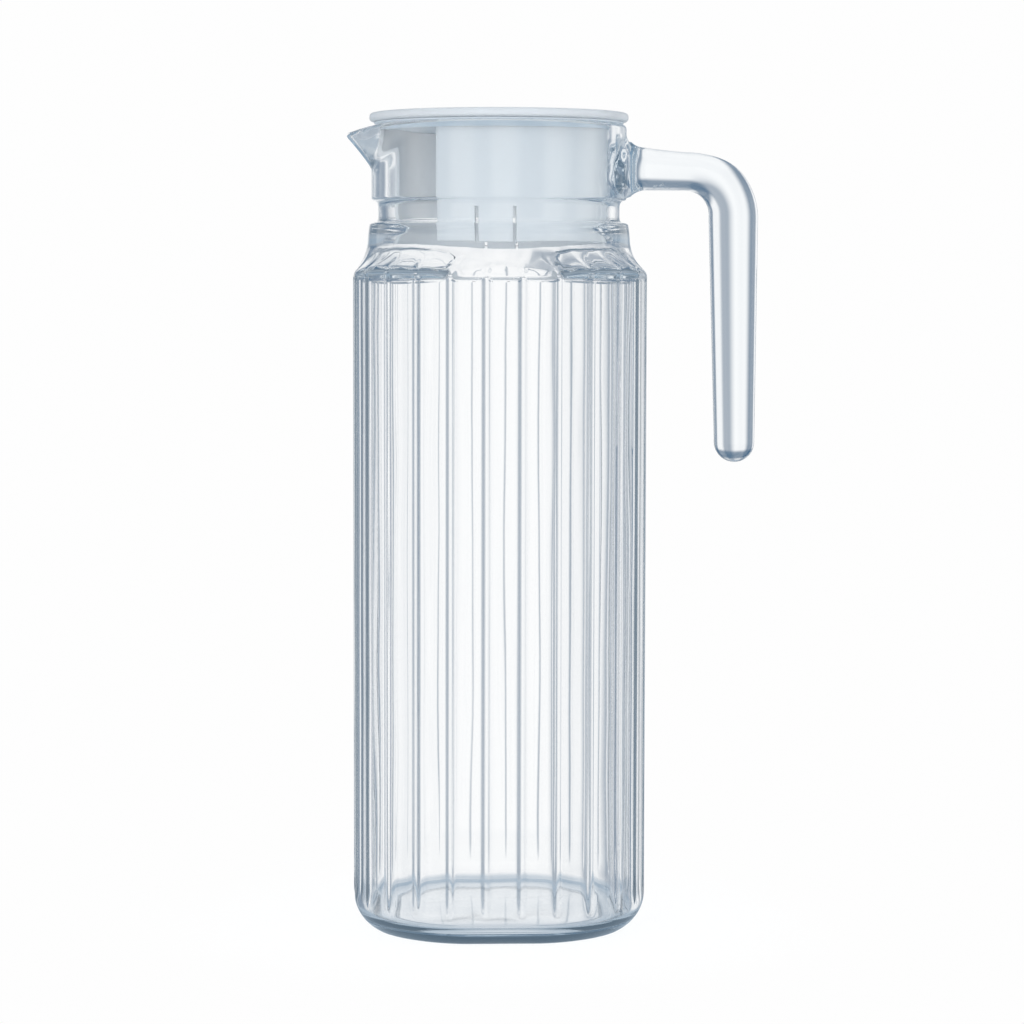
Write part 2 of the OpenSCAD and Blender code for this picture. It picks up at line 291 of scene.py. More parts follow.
def rim_ring(radius, z, inner):
    """A ring of the collar or the bore, drawn out at the lip."""
    ring = []
    for p in neck_ring(1.0, z):
        turn = atan2(p.y, p.x)
        shown = (wrapped(turn, collar_r, lip_reach, lip_tip_r) - collar_r) / (lip_reach - collar_r)
        low = z - lip_drop * shown * smooth(z, 230, rim_z)
        if inner:
            r = wrapped(turn, bore_r, inner_reach(low), inner_tip_r) + radius - bore_r
        else:
            r = wrapped(turn, collar_r, outer_reach(low), lip_tip_r) + radius - collar_r
        ring.append(Vector((r * cos(turn), r * sin(turn), low)))
    return ring


# %% [markdown]
# ## The fused root of the handle
#
# The handle is a rod of hot glass pressed on to the collar, and its root spreads into an uneven pad. The
# pad is raised on the collar's rings here, with a lumpy edge from a noise function, before the handle is
# drawn out.

# %% Root pad
handle_z = 228.5
pad_wide, pad_tall, pad_thick = 19, 9.2, 1.4


def pad_rise(turn, z):
    """Height of the pad above the collar at an angle from the handle's middle."""
    across = turn * collar_r
    up = z - handle_z
    lump = noise.noise(Vector((across / 5, up / 4, 3.3)))
    spread = hypot(across / (pad_wide + 4 * smooth(-up, -4, 6)), (up + 0.4) / pad_tall) + 0.16 * lump
    edge = 1 - smooth(spread, 0.72, 1.02)
    return edge * (pad_thick + 0.3 * noise.noise(Vector((across / 4.5, up / 4.0, 8.1))))


def padded_collar(ring):
    for p in ring:
        turn = atan2(p.y, p.x)
        if abs(turn) < 1.2:
            r = hypot(p.x, p.y)
            grown = r + pad_rise(turn, p.z)
            p.x, p.y = p.x * grown / r, p.y * grown / r
    return ring


# %% [markdown]
# ## All the rings of the glass, from under the foot, up the outside, over the rim and down the inside
#
# Rings stand close together where the profile bends, and one extra ring lies just before each bend, so that
# smooth shading bends only where the glass does. That matters more in glass than in anything else, because
# what is seen through it is bent by its normals.

# %% Rings of the outside
outside = [side_ring(inset, z) for inset, z in (
    (14.2, 1.2), (13.6, 1.2), (13.3, 1.05), (13.15, 0.5), (12.9, 0.12), (12.4, 0), (11.3, 0), (8.6, 0),
    (7.9, 0.03), (7.4, 0.2))]
outside += [heel_ring(z) for z in (0.45, 0.9, 1.5, 2.2, 2.9, 3.4)]
outside += [heel_ring(z, groove=depth) for z, depth in (
    (3.65, 0.03), (3.85, 0.25), (4.1, 0.25), (4.3, 0.03), (4.6, 0), (5.3, 0), (6.2, 0), (7.2, 0), (8.2, 0))]
for z, share in ((9.0, 0.05), (10, 0.2), (11.2, 0.42), (12.5, 0.62), (14, 0.8), (16, 0.93), (18.5, 1)):
    outside.append(heel_ring(z, share))
outside += [side_ring(0, 20 + 6.45 * i, 1) for i in range(28)]
outside += [side_ring(0, z, share) for z, share in (
    (194.9, 1), (195.2, 0.95), (195.5, 0.68), (195.8, 0.38), (196.1, 0.25))]
for turn, share in ((0, 0.21), (12, 0.2), (24, 0.2), (36, 0.2), (46, 0.2)):
    t = radians(turn)
    outside.append(side_ring(1.5 * (1 - cos(t)) * 2, 196.4 + 3 * sin(t) * 0.85, share, 0.4))
brow = outside[-1]
for share in (0.03, 0.1, 0.2, 0.3, 0.4, 0.5, 0.6, 0.7, 0.8, 0.9, 1.0):
    outside.append(shoulder_ring(share, brow))

neck = [(39.33, 208.6), (39.15, 210.2), (39.02, 211.0)] + arc(38.0, 211.2, 1.0, 0, 90, 6)[1:]
neck += [(groove_r + out, z) for out, z in (
    (0.9, 212.3), (0.5, 212.55), (0.15, 213.0), (0.02, 213.5), (0, 214.0), (0, 215.5), (0, 217.0),
    (0.05, 217.5), (0.25, 218.1), (0.65, 218.6), (1.0, 218.75))]
neck += arc(collar_r - 0.9, 219.7, 0.9, -88, 0, 6)
outside += [neck_ring(r, z) for r, z in neck]

collar_heights = [220.1] + [221.2 + 1.15 * i for i in range(14)] + [237.3, 238.2, 239.2, 239.8, 240.1]
outside += [padded_collar(rim_ring(collar_r, z, False)) for z in collar_heights]
lip = arc(collar_r - 1.6, rim_z - 1.6, 1.6, 0, 90, 7)[1:]
outside += [rim_ring(r, z, False) for r, z in lip]
print(len(outside), "rings outside")

# %% Rings of the inside
inside = [rim_ring(35.6, rim_z, True)]
inside += [rim_ring(r, z, True) for r, z in reversed(arc(bore_r + 0.9, rim_z - 0.9, 0.9, 180, 90, 5))]
inside += [rim_ring(bore_r, z, True) for z in (240.5, 239.6, 238.7, 237.8, 236.9, 236, 235, 234, 233, 232,
                                               231, 230, 229, 228, 226, 223)]
inside += [neck_ring(r, z) for r, z in ((bore_r, 220), (bore_r, 216), (bore_r, 213.2), (33.6, 212.4),
                                        (33.85, 211.5), (34.6, 210.2), (35.4, 208.8))]
inside += inner_shoulder()
inside += [wavy(side_ring(wall, z), 0.1 * smooth(z, 6, 20) * (1 - smooth(z, 176, 188)))
           for z in [184 - 5.8 * i for i in range(30)]]
inside += [side_ring(wall, 11.5), side_ring(wall, 9.7)]
inside += [side_ring(wall + 4.5 - 4.5 * cos(radians(a)), 9.3 - 4.5 * sin(radians(a)))
           for a in (6, 18, 30, 42, 54, 66, 78, 90)]
floor_edge = inside[-1]
for share in (0.97, 0.86, 0.72, 0.58, 0.44, 0.3, 0.16, 0.05):
    ring = [Vector((p.x * share, p.y * share, 4.8)) for p in floor_edge]
    for p in ring:
        p.z += 0.3 * (1 - share) * (noise.noise(Vector((p.x / 14, p.y / 9, 5.5))) + 0.4)
    inside.append(ring)
print(len(inside), "rings inside")

# %% [markdown]
# ## Lofting by extrusion
#
# One helper does what a hand would do in edit mode: add a circle, select its edge, extrude it, move the
# new ring into place, and go on. Each point carries its number round the ring in an attribute, which an
# extrusion copies, so a ring's points always find their places.

# %% Loft
def start_piece():
    """Leave edit mode and deselect all, because an operator acts on everything that is selected."""
    if bpy.context.object and bpy.context.object.mode != "OBJECT":
        bpy.ops.object.mode_set(mode="OBJECT")
    bpy.ops.object.select_all(action="DESELECT")


def edited(piece):
    mesh = bmesh.from_edit_mesh(piece.data)
    return mesh, mesh.verts.layers.int["place"]


def move_selected(piece, points):
    mesh, tag = edited(piece)
    for v in mesh.verts:
        if v.select:
            v.co = points[v[tag]] * mm
    bmesh.update_edit_mesh(piece.data)


def loft(name, rings, closed):
    """A circle extruded through all the rings. A closed loft has a middle point at both ends."""
    start_piece()
    bpy.ops.mesh.primitive_circle_add(vertices=len(rings[0]), radius=10 * mm,
                                      fill_type="TRIFAN" if closed else "NOTHING")
    piece = bpy.context.object
    piece.name = piece.data.name = name
    bpy.ops.object.mode_set(mode="EDIT")
    bpy.ops.mesh.select_mode(type="VERT")
    bpy.ops.mesh.select_all(action="DESELECT")
    mesh = bmesh.from_edit_mesh(piece.data)
    tag = mesh.verts.layers.int.new("place")
    rim = [v for v in mesh.verts if v.co.length > 5 * mm]
    rim.sort(key=lambda v: (atan2(v.co.y, v.co.x) + pi + 0.001) % (2 * pi))
    middle = sum(rings[0], Vector()) / len(rings[0])
    for v in mesh.verts:
        v.co = middle * mm
    for i, v in enumerate(rim):
        v[tag] = i
    ring = set(rim)
    for e in mesh.edges:
        if e.verts[0] in ring and e.verts[1] in ring:
            e.select_set(True)
    bmesh.update_edit_mesh(piece.data)
    move_selected(piece, rings[0])
    for points in rings[1:]:
        bpy.ops.mesh.extrude_region_move()
        move_selected(piece, points)
    if closed:
        bpy.ops.mesh.extrude_region_move()
        bpy.ops.mesh.merge(type="CENTER")
    return piece


def face_outwards(piece):
    bpy.ops.mesh.select_all(action="SELECT")
    bpy.ops.mesh.normals_make_consistent(inside=False)
    bpy.ops.mesh.select_all(action="DESELECT")


def finish_piece(piece, body, slot, *nodes):
    """Back to object mode, riding on its body and standing for its CAD nodes."""
    if piece.mode != "OBJECT":
        bpy.ops.object.mode_set(mode="OBJECT")
    if "place" in piece.data.attributes:
        piece.data.attributes.remove(piece.data.attributes["place"])
    bpy.ops.object.select_all(action="DESELECT")
    piece.select_set(True)
    bpy.context.view_layer.objects.active = piece
    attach(piece, body)
    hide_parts(*nodes)
    print(piece.name, len(piece.data.polygons), "faces")


# %% The glass shell
glass = loft("glass_jug", outside + inside, closed=True)
face_outwards(glass)
print("shell lofted,", len(bmesh.from_edit_mesh(glass.data).verts), "points")

# %% [markdown]
# ## The handle, drawn out of the shell
#
# The handle is drawn from the collar by selecting the block of faces under the pad and extruding it along
# the handle's path. The glass stays one closed skin with no wall between handle and neck, as on a fused
# handle, and the block of faces itself becomes the handle's round end.

# %% The block of faces under the root
first_row, last_row = 0, 15
columns = 15
middle_index = round_count // 2
rows = {round(z, 3): k for k, z in enumerate(collar_heights)}
mesh, tag = edited(glass)
tag_turn = mesh.verts.layers.float.new("turn")
tag_out = mesh.verts.layers.float.new("out")
tag = mesh.verts.layers.int["place"]
block = {}
for v in mesh.verts:
    column, row = v[tag] - middle_index, rows.get(round(v.co.z / mm, 3), -1)
    if abs(column) <= columns and first_row <= row <= last_row and hypot(v.co.x, v.co.y) > 36 * mm:
        block[v] = (column, row)
half_rows = (last_row - first_row) / 2
loop_count = 2 * (2 * columns + last_row - first_row)
print(len(block), "points in the block,", loop_count, "round its edge")


def round_block(column, row):
    """Share of the way out from the block's middle, and the turn about it from straight up."""
    u, v = column / columns, (row - first_row) / half_rows - 1
    out = max(abs(u), abs(v))
    if out == 0:
        return 0.0, 0.0
    u, v = u / out, v / out
    side = 2 * half_rows
    if v >= 1:
        step = columns * u
    elif u >= 1:
        step = columns + side / 2 * (1 - v)
    elif v <= -1:
        step = columns + side + columns * (1 - u)
    else:
        step = 3 * columns + side + side / 2 * (1 + v)
    return out, 2 * pi * step / loop_count


def rounded(turn, power=2.4):
    c, s = cos(turn), sin(turn)
    return (abs(c) ** (2 / power) * (1 if c > 0 else -1), abs(s) ** (2 / power) * (1 if s > 0 else -1))


# %% Path of the handle
root_t, root_d = 16.8, 17.2
arm_t, arm_d = 12.8, 13.0
grip_t, grip_end_t, grip_end_d = 14.9, 12.2, 11.4
grip_x, bend_r, tip_z = 70.8, 14.2, 140.2
grip_end_x = grip_x + 0.7


def handle_point(x, z, tilt, tall, deep, turn, out=1.0):
    up, side = rounded(turn)
    up, side = up * tall / 2 * out, side * deep / 2 * out
    return Vector((x + up * sin(tilt), side, z + up * cos(tilt)))


stations = []
for i in range(1, 4):
    stations.append((43.6 + 3 * i, handle_z - 0.16 * i, 0.0, arm_t - 0.32 * i, arm_d))
for i in range(17):
    t = pi / 2 * i / 16
    sag = 1.3 * (1 - smooth(i, 2, 9))
    r = bend_r - sag / 2
    stations.append((grip_x - bend_r + r * sin(t), handle_z - bend_r + r * cos(t), t,
                     arm_t + (grip_t - arm_t) * i / 16 - sag, arm_d))
grip_top, grip_low = handle_z - bend_r, tip_z + grip_end_t / 2
for i in range(1, 13):
    s = i / 12
    stations.append((grip_x + (grip_end_x - grip_x) * s, grip_top + (grip_low - grip_top) * s, pi / 2,
                     grip_t + (grip_end_t - grip_t) * s, arm_d + (grip_end_d - arm_d) * s))

# %% Draw the handle
for v in mesh.verts:
    v.select_set(False)
for v, (column, row) in block.items():
    out, turn = round_block(column, row)
    v[tag_turn], v[tag_out] = turn, out
    up, side = rounded(turn)
    z = handle_z + 0.05 + up * root_t / 2 * out
    angle = side * root_d / 2 * out / collar_r
    r = collar_r + pad_rise(angle, z)
    v.co = Vector((r * cos(angle), r * sin(angle), z)) * mm
inside_block = set(block)
for f in mesh.faces:
    if all(v in inside_block for v in f.verts):
        f.select_set(True)
bmesh.update_edit_mesh(glass.data)


def extrude_handle(place_point):
    """Extrude the block once and move its points. place_point gets a point's turn and its share out."""
    bpy.ops.mesh.extrude_region_move()
    mesh = bmesh.from_edit_mesh(glass.data)
    turn_of, out_of = mesh.verts.layers.float["turn"], mesh.verts.layers.float["out"]
    for v in mesh.verts:
        if v.select:
            v.co = place_point(v[turn_of], v[out_of]) * mm
    bmesh.update_edit_mesh(glass.data)


root_end = 44.6
for i in range(1, 11):
    s = i / 10
    left = (1 - s) ** 2.3

    def root_point(turn, out, s=s, left=left):
        tall, deep = arm_t + (root_t - arm_t) * left, arm_d + (root_d - arm_d) * left
        round_collar = asin(min(0.5, abs(rounded(turn)[1]) * deep / 2 / 40))
        start = (collar_r + 1.0) * cos(round_collar)
        p = handle_point(start + (root_end - start) * s, handle_z, 0.0, tall, deep, turn, out)
        lump = 0.5 * left ** 0.5 * noise.noise(Vector((turn * 1.6, s * 1.5, 2.2)))
        p.y += lump * sin(turn)
        p.z += lump * cos(turn)
        return p

    extrude_handle(root_point)
for x, z, tilt, tall, deep in stations:
    extrude_handle(lambda turn, out: handle_point(x, z, tilt, tall, deep, turn, out))


def tip_point(t, turn, out=1.0):
    """A point of the rounded tip: t is its angle down from the tip's widest ring."""
    return handle_point(grip_end_x, grip_low - grip_end_t / 2 * sin(t), pi / 2,
                        grip_end_t * cos(t), grip_end_d * cos(t), turn, out)


for i in range(1, 6):
    extrude_handle(lambda turn, out: tip_point(radians(7 * i), turn, out))

# The block itself closes the end: each point goes on to the half ellipsoid by its share out
mesh = bmesh.from_edit_mesh(glass.data)
turn_of, out_of = mesh.verts.layers.float["turn"], mesh.verts.layers.float["out"]
for v in mesh.verts:
    if v.select and v[out_of] < 0.999:
        v.co = tip_point(radians(90 - 55 * v[out_of]), v[turn_of]) * mm
bmesh.update_edit_mesh(glass.data)
face_outwards(glass)
bpy.ops.object.mode_set(mode="OBJECT")
for attribute in ("turn", "out"):
    glass.data.attributes.remove(glass.data.attributes[attribute])
bpy.ops.object.shade_smooth()

# %% Bubbles
# Small seeds caught under the arm: closed shells inside the glass, whose faces look in at the air
bubbles = []
for i in range(16):
    start_piece()
    share = (0.618 * i) % 1
    size = 0.24 + 0.24 * ((0.37 * i) % 1)
    place = Vector((46.4 + 11.5 * share, 2.4 * sin(2.4 * i), handle_z - 4.35 - 0.5 * cos(1.7 * i)))
    bpy.ops.mesh.primitive_ico_sphere_add(subdivisions=2, radius=size * mm, location=place * mm)
    bubbles.append(bpy.context.object)
for bubble in bubbles:
    bubble.select_set(True)
bpy.ops.object.join()
bpy.ops.object.mode_set(mode="EDIT")
bpy.ops.mesh.select_all(action="SELECT")
bpy.ops.mesh.flip_normals()
bpy.ops.object.mode_set(mode="OBJECT")
bpy.ops.object.shade_smooth()
glass.select_set(True)
bpy.context.view_layer.objects.active = glass
bpy.ops.object.join()
finish_piece(glass, "jug", "glass", "glass_body", "glass_handle")

# %% [markdown]
# ## The lid
#
# The lid is injection moulded in soft, frosted plastic. Its cap is turned: a flange on the rim, a shallow
# dish inside it and a plug below. A bar across the dish is what the fingers turn it by. The dish and the
# bar face away from the photograph's camera, and follow the CAD model.

# %% Lid cap
lid_turn = radians(22.5)
flange_z, cap_z = 242.4, 245.0
cap_r, plug_r = 38.9, 31.0


def turned(profile, count=144):
    """Rings of a turned piece from its profile of radius and height."""
    return [[Vector((r * cos(2 * pi * i / count - pi), r * sin(2 * pi * i / count - pi), z))
             for i in range(count)] for r, z in profile]


cap_profile = [(20, 239.8), (30.0, 239.8), (30.4, 239.8)] + arc(30.5, 240.3, 0.5, -90, 0, 4)
cap_profile += [(plug_r, 241.0), (plug_r, 242.1), (31.1, 242.3), (31.3, flange_z), (34, flange_z)]
cap_profile += [(37.6, flange_z)] + arc(cap_r - 1.1, flange_z + 1.1, 1.1, -86, 0, 6)
cap_profile += arc(cap_r - 1.1, cap_z - 1.1, 1.1, 0, 90, 6)
cap_profile += [(37.4, cap_z), (31.2, cap_z)] + arc(30.7, cap_z - 0.6, 0.6, 90, 170, 5)
cap_profile += [(29.9, 243.4), (29.6, 242.4), (29.3, 241.8), (28.8, 241.45), (28.2, 241.4), (20, 241.4)]
cap = loft("lid_cap_moulding", turned(cap_profile), closed=True)
face_outwards(cap)
bpy.ops.object.mode_set(mode="OBJECT")

# The finger bar: a block with rounded edges, joined to the dish
start_piece()
bpy.ops.mesh.primitive_cube_add(size=1, location=(0, 0, 242.5 * mm))
bar = bpy.context.object
bar.name = "finger_bar"
bpy.ops.transform.resize(value=(59.6 * mm, 5.2 * mm, 4.2 * mm))
bpy.ops.object.transform_apply(location=True, rotation=True, scale=True)
bar.modifiers.new("soft edges", "BEVEL").width = 1.1 * mm
bar.modifiers["soft edges"].segments = 4
bar.modifiers["soft edges"].limit_method = "ANGLE"
bpy.ops.object.modifier_apply(modifier="soft edges")
start_piece()
cap.select_set(True)
bpy.context.view_layer.objects.active = cap
join = cap.modifiers.new("bar", "BOOLEAN")
join.operation, join.solver, join.object = "UNION", "EXACT", bar
bpy.ops.object.modifier_apply(modifier="bar")
bpy.data.objects.remove(bar)
cap.rotation_euler.z = lid_turn
bpy.ops.object.transform_apply(location=True, rotation=True, scale=True)
bpy.ops.object.shade_smooth_by_angle(angle=radians(34))
finish_piece(cap, "lid", "lid_plastic", "lid_cap")

# %% [markdown]
# ## The lid's sleeve
#
# The sleeve is a thin ring with part of its round left open as the pouring window. Two narrow slits at
# the front and two at the back free a spring tab each. It is modelled as a sheet of faces: the faces of
# the window and the slits are deleted, and Solidify gives the sheet its thickness, so the slits keep
# clean, square edges.

# %% Lid sleeve
sleeve_r, sleeve_t = 32.6, 1.5
sleeve_low, slit_top, sleeve_top = 206.8, 216.7, 242.38
slit = 1.0 / sleeve_r
tab = 9.9 / 2 / sleeve_r
window = radians(65)
tab_middles = [side - radians(26.5) for side in (-pi / 2, pi / 2)]
marks = [(pi - window / 2) * (2 * k / 149 - 1) for k in range(150)]
for side in tab_middles:
    for edge in (side - tab - slit, side - tab, side + tab, side + tab + slit):
        nearest = min(range(len(marks)), key=lambda k: abs(marks[k] - edge))
        marks[nearest] = edge
heights = [sleeve_low, sleeve_low + 3.2, sleeve_low + 6.6]
heights += [slit_top + (sleeve_top - slit_top) * i / 6 for i in range(7)]
start_piece()
bpy.ops.mesh.primitive_grid_add(x_subdivisions=len(marks) - 1, y_subdivisions=len(heights) - 1, size=2)
sleeve = bpy.context.object
sleeve.name = sleeve.data.name = "lid_sleeve_moulding"
across, up = len(marks) - 1, len(heights) - 1
for v in sleeve.data.vertices:
    turn = marks[round((v.co.x + 1) / 2 * across)] + lid_turn
    z = heights[round((v.co.y + 1) / 2 * up)]
    v.co = Vector((sleeve_r * cos(turn), sleeve_r * sin(turn), z)) * mm
bpy.ops.object.mode_set(mode="EDIT")
bpy.ops.mesh.select_mode(type="FACE")
bpy.ops.mesh.select_all(action="DESELECT")
mesh = bmesh.from_edit_mesh(sleeve.data)
for f in mesh.faces:
    c = f.calc_center_median() / mm
    turn = (atan2(c.y, c.x) - lid_turn + pi) % (2 * pi) - pi
    for side in tab_middles:
        if tab < abs(turn - side) < tab + slit and c.z < slit_top:
            f.select_set(True)
bmesh.update_edit_mesh(sleeve.data)
bpy.ops.mesh.delete(type="FACE")
bpy.ops.mesh.select_all(action="SELECT")
bpy.ops.mesh.normals_make_consistent(inside=False)
bpy.ops.object.mode_set(mode="OBJECT")
outward = sum(f.normal.x * f.center.x + f.normal.y * f.center.y for f in sleeve.data.polygons)
thick = sleeve.modifiers.new("wall", "SOLIDIFY")
thick.thickness, thick.offset = sleeve_t * mm, -1 if outward > 0 else 1
bpy.ops.object.modifier_apply(modifier="wall")
soft = sleeve.modifiers.new("edges", "BEVEL")
soft.width, soft.segments, soft.limit_method, soft.angle_limit = 0.22 * mm, 2, "ANGLE", radians(60)
bpy.ops.object.modifier_apply(modifier="edges")
bpy.ops.object.shade_smooth_by_angle(angle=radians(34))
finish_piece(sleeve, "lid", "lid_plastic", "lid_sleeve")

# %% [markdown]
# ## The seal
#
# A soft flat ring lies between the flange and the glass rim, with a short skirt inside the mouth. It
# shows as the fine second line under the flange. Its profile is closed on itself, so the loft's two ends
# are merged.

# %% Seal
on_rim, under_flange = rim_z + 0.01, flange_z - 0.01
seal_profile = [(32.72, 239.9), (33.05, 239.8), (33.14, 239.95), (33.15, 241.3), (33.3, 241.62),
                (33.6, on_rim), (36.0, on_rim), (37.1, on_rim), (37.4, 241.85), (37.45, 242.05),
                (37.4, 242.28), (37.1, under_flange), (34, under_flange), (32.9, under_flange),
                (32.72, 242.2)]
seal = loft("lid_seal_ring", turned(seal_profile + seal_profile[:1]), closed=False)
bpy.ops.mesh.select_all(action="SELECT")
bpy.ops.mesh.remove_doubles(threshold=0.001 * mm)
face_outwards(seal)
bpy.ops.object.mode_set(mode="OBJECT")
bpy.ops.object.shade_smooth_by_angle(angle=radians(40))
finish_piece(seal, "seal", "seal", "lid_seal")

# %% [markdown]
# ## Clear glass
#
# Clear glass is a Principled shader with full transmission. Its faint blue comes from absorption inside the
# glass, so that thick edges are bluer than thin walls, as on the real jug. Light that falls through the jug
# would be lost to a path tracer, so shadow rays and diffuse rays pass straight through, with a little tint.
# A ray that is caught in the glass goes from wall to wall until the tracer gives it up, and would turn out
# black. After seven bounces, or four mirrorings, the glass glows a painted grey blue shade instead, which
# is darkest at the foot, where the glass meets the table, and palest at the neck.
# Pressed glass has a slightly wavy, fire polished skin, which two soft noises give it through a Bump node.

# %% Node helpers
def new_material(name):
    material = bpy.data.materials.new(name)
    material.use_nodes = True
    nodes, links = material.node_tree.nodes, material.node_tree.links
    return material, nodes, links, nodes["Principled BSDF"], nodes["Material Output"]


def math_node(operation, *values):
    """A Math node of the node tree that is being made, with numbers or sockets as its inputs."""
    node = nodes.new("ShaderNodeMath")
    node.operation = operation
    for socket, value in zip(node.inputs, values):
        if isinstance(value, (int, float)):
            socket.default_value = value
        else:
            links.new(value, socket)
    return node.outputs[0]


def ramp_node(value, low, high, from_value, to_value):
    """An even S between two values, as smooth() gives for meshes."""
    node = nodes.new("ShaderNodeMapRange")
    node.interpolation_type = "SMOOTHSTEP"
    names = ("From Min", "From Max", "To Min", "To Max")
    for name, number in zip(names, (low, high, from_value, to_value)):
        node.inputs[name].default_value = number
    links.new(value, node.inputs["Value"])
    return node.outputs["Result"]


def ripple_group():
    """Height of a soft, slightly uneven moulded skin: a broad ripple and a fine one."""
    group = bpy.data.node_groups.new("moulded_ripple", "ShaderNodeTree")
    group.interface.new_socket("Broad", in_out="INPUT", socket_type="NodeSocketFloat")
    group.interface.new_socket("Fine", in_out="INPUT", socket_type="NodeSocketFloat")
    group.interface.new_socket("Fine share", in_out="INPUT", socket_type="NodeSocketFloat")
    group.interface.new_socket("Height", in_out="OUTPUT", socket_type="NodeSocketFloat")
    nodes, links = group.nodes, group.links
    start, end = nodes.new("NodeGroupInput"), nodes.new("NodeGroupOutput")
    place = nodes.new("ShaderNodeTexCoord")
    stretch = nodes.new("ShaderNodeMapping")
    stretch.inputs["Scale"].default_value = (1, 1, 0.3)
    broad, fine = nodes.new("ShaderNodeTexNoise"), nodes.new("ShaderNodeTexNoise")
    add = nodes.new("ShaderNodeMath")
    add.operation = "MULTIPLY_ADD"
    links.new(place.outputs["Object"], stretch.inputs["Vector"])
    links.new(stretch.outputs["Vector"], broad.inputs["Vector"])
    links.new(place.outputs["Object"], fine.inputs["Vector"])
    links.new(start.outputs["Broad"], broad.inputs["Scale"])
    links.new(start.outputs["Fine"], fine.inputs["Scale"])
    links.new(fine.outputs["Fac"], add.inputs[0])
    links.new(start.outputs["Fine share"], add.inputs[1])
    links.new(broad.outputs["Fac"], add.inputs[2])
    links.new(add.outputs[0], end.inputs["Height"])
    return group


ripple = ripple_group()


def add_ripple(nodes, links, shader, broad, fine, share, depth):
    skin = nodes.new("ShaderNodeGroup")
    skin.node_tree = ripple
    skin.inputs["Broad"].default_value = broad
    skin.inputs["Fine"].default_value = fine
    skin.inputs["Fine share"].default_value = share
    bump = nodes.new("ShaderNodeBump")
    bump.inputs["Strength"].default_value = 1.0
    bump.inputs["Distance"].default_value = depth
    links.new(skin.outputs["Height"], bump.inputs["Height"])
    links.new(bump.outputs["Normal"], shader.inputs["Normal"])
    return skin


def dress(piece, material):
    piece.data.materials.clear()
    piece.data.materials.append(material)


# %% Glass
clear, nodes, links, shader, output = new_material("clear_glass")
shader.inputs["Base Color"].default_value = (1, 1, 1, 1)
shader.inputs["Roughness"].default_value = 0.0
shader.inputs["IOR"].default_value = 1.52
shader.inputs["Transmission Weight"].default_value = 1.0
add_ripple(nodes, links, shader, 45, 160, 0.06, 0.00008)
through = nodes.new("ShaderNodeBsdfTransparent")
through.inputs["Color"].default_value = (0.93, 0.955, 0.97, 1)
rays, choose = nodes.new("ShaderNodeLightPath"), nodes.new("ShaderNodeMixShader")
straight = math_node("MAXIMUM", rays.outputs["Is Shadow Ray"], rays.outputs["Is Diffuse Ray"])
links.new(straight, choose.inputs["Fac"])
links.new(shader.outputs["BSDF"], choose.inputs[1])
links.new(through.outputs["BSDF"], choose.inputs[2])
# Painted shade: a ray lost in the glass meets a grey blue Emission, darker towards the foot, instead of
# black
lost = math_node("MAXIMUM", math_node("GREATER_THAN", rays.outputs["Ray Depth"], 6.5),
                 math_node("GREATER_THAN", rays.outputs["Glossy Depth"], 3.5))
glow, keep = nodes.new("ShaderNodeEmission"), nodes.new("ShaderNodeMixShader")
place, height = nodes.new("ShaderNodeTexCoord"), nodes.new("ShaderNodeSeparateXYZ")
links.new(place.outputs["Object"], height.inputs[0])
painted_lost_ray_shade = nodes.new("ShaderNodeMix")
painted_lost_ray_shade.data_type = "RGBA"
painted_lost_ray_shade.inputs["A"].default_value = (0.1, 0.14, 0.18, 1)
painted_lost_ray_shade.inputs["B"].default_value = (0.42, 0.48, 0.54, 1)
up_the_jug = math_node("ADD", ramp_node(height.outputs["Z"], 0.004, 0.014, 0.0, 0.32),
                       ramp_node(height.outputs["Z"], 0.205, 0.222, 0.0, 0.68))
links.new(up_the_jug, painted_lost_ray_shade.inputs["Factor"])
links.new(painted_lost_ray_shade.outputs["Result"], glow.inputs["Color"])
links.new(lost, keep.inputs["Fac"])
links.new(choose.outputs["Shader"], keep.inputs[1])
links.new(glow.outputs["Emission"], keep.inputs[2])
links.new(keep.outputs["Shader"], output.inputs["Surface"])
tint = nodes.new("ShaderNodeVolumeAbsorption")
tint.inputs["Color"].default_value = (0.55, 0.75, 0.88, 1)
tint.inputs["Density"].default_value = 10.0
links.new(tint.outputs["Volume"], output.inputs["Volume"])
dress(glass, clear)

# %% [markdown]
# ## Frosted plastic and seal
#
# The lid is translucent: half of the light scatters in the plastic and half goes through it and is blurred.
# The seal is softer and whiter. A fine ripple breaks up the highlights, as on any moulded plastic.

# %% Plastics
frosted, nodes, links, shader, output = new_material("frosted_plastic")
shader.inputs["Base Color"].default_value = (0.955, 0.955, 0.96, 1)
shader.inputs["Roughness"].default_value = 0.42
shader.inputs["IOR"].default_value = 1.5
shader.inputs["Transmission Weight"].default_value = 0.5
add_ripple(nodes, links, shader, 90, 1400, 0.25, 0.00012)
dress(sleeve, frosted)

# The cap gets a darker, bluer copy of the frosted plastic than the thin sleeve
cap_frosted = frosted.copy()
cap_frosted.name = "frosted_cap"
shader = cap_frosted.node_tree.nodes["Principled BSDF"]
shader.inputs["Base Color"].default_value = (0.82, 0.855, 0.89, 1)
dress(cap, cap_frosted)

rubber, nodes, links, shader, output = new_material("seal_rubber")
shader.inputs["Base Color"].default_value = (0.72, 0.78, 0.84, 1)
shader.inputs["Roughness"].default_value = 0.5
shader.inputs["Transmission Weight"].default_value = 0.3
add_ripple(nodes, links, shader, 120, 1600, 0.2, 0.0001)
dress(seal, rubber)

# %% [markdown]
# ## The studio
#
# Glass shows what stands round it. In a studio it is lit by white boards with dark gaps between them, and
# the gaps draw its edges. The world does the same here for rays that have met glass or gloss, with four
# boards in front, behind and at the sides, four narrow ones between them, and a darker strip above. The
# gaps begin sooner on one side of a board than on the other, so the ridges' left edges come out stronger
# than their right ones. Rays straight from the camera see plain white, and diffuse surfaces are lit
# evenly.

